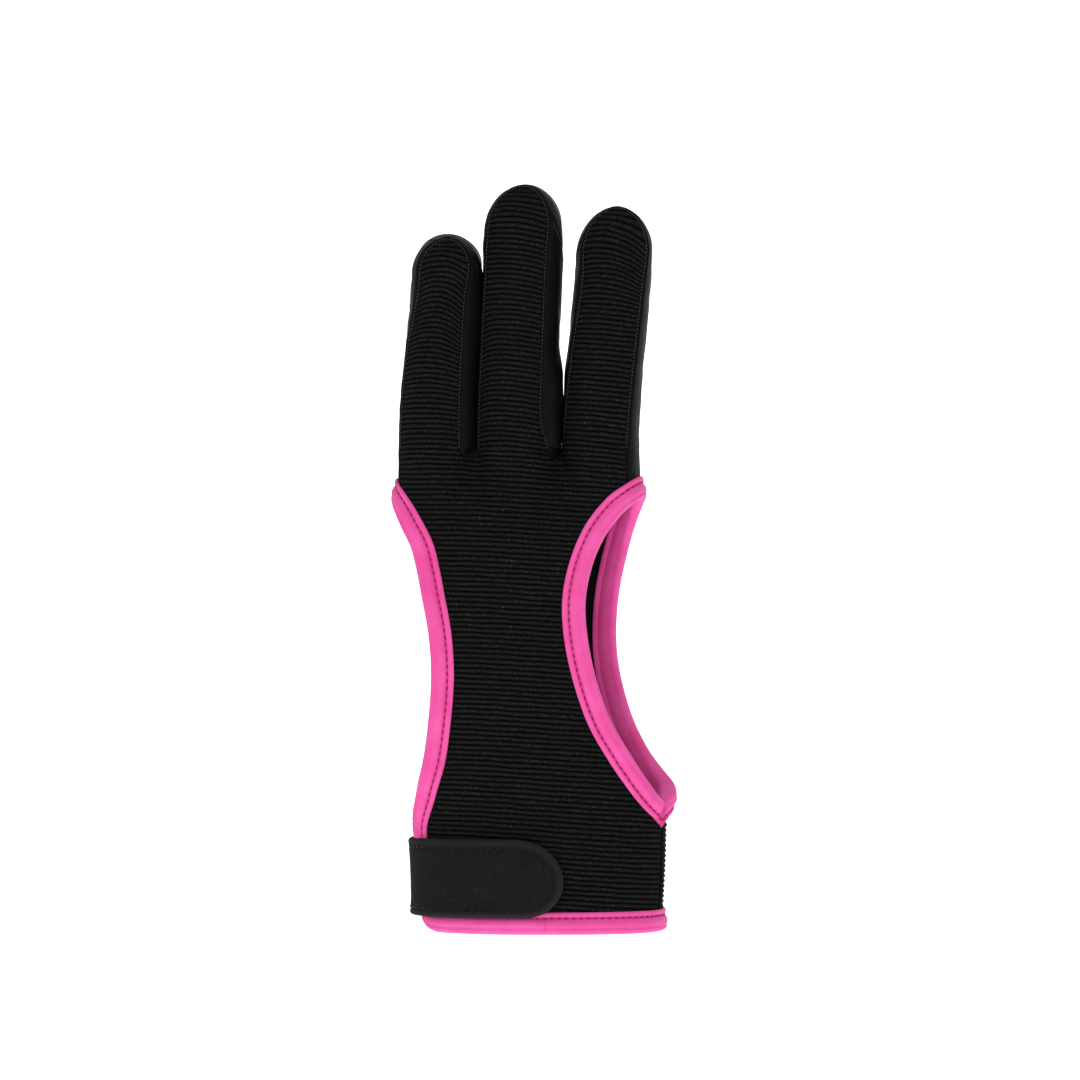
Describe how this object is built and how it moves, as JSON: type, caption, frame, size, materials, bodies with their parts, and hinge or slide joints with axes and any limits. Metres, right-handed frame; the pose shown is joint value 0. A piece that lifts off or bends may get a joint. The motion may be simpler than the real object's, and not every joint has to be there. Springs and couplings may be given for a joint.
{
  "type": "archery glove",
  "caption": "Fingered bow-hand glove with ribbed cloth back, leather palm, bound thumb and side openings and a wrist strap.",
  "frame": {"origin": "middle of the wrist's mouth, at the lower edge of the hem, where the hand goes in", "axes": "+Z from the wrist to the fingertips, +X to the thumb's side, +Y to the palm, the back of the hand to -Y"},
  "size_m": [0.0773, 0.0472, 0.2069],
  "materials": {
    "ribbed_cloth": "matt ribbed stretch cloth, black",
    "leather": "smooth soft leather, black, satin",
    "pink_binding": "matt woven tape, hot pink",
    "hook_and_loop": "matt brushed loop pile, black"
  },
  "bodies": {
    "root": {"back_panel": "ribbed_cloth", "palm_panel": "leather", "palm_cuff": "ribbed_cloth", "fourchette_ring_middle": "leather", "fourchette_middle_index": "leather", "thumb_binding": "pink_binding", "edge_binding": "pink_binding", "wrist_strap": "hook_and_loop"}
  },
  "joints": []
}
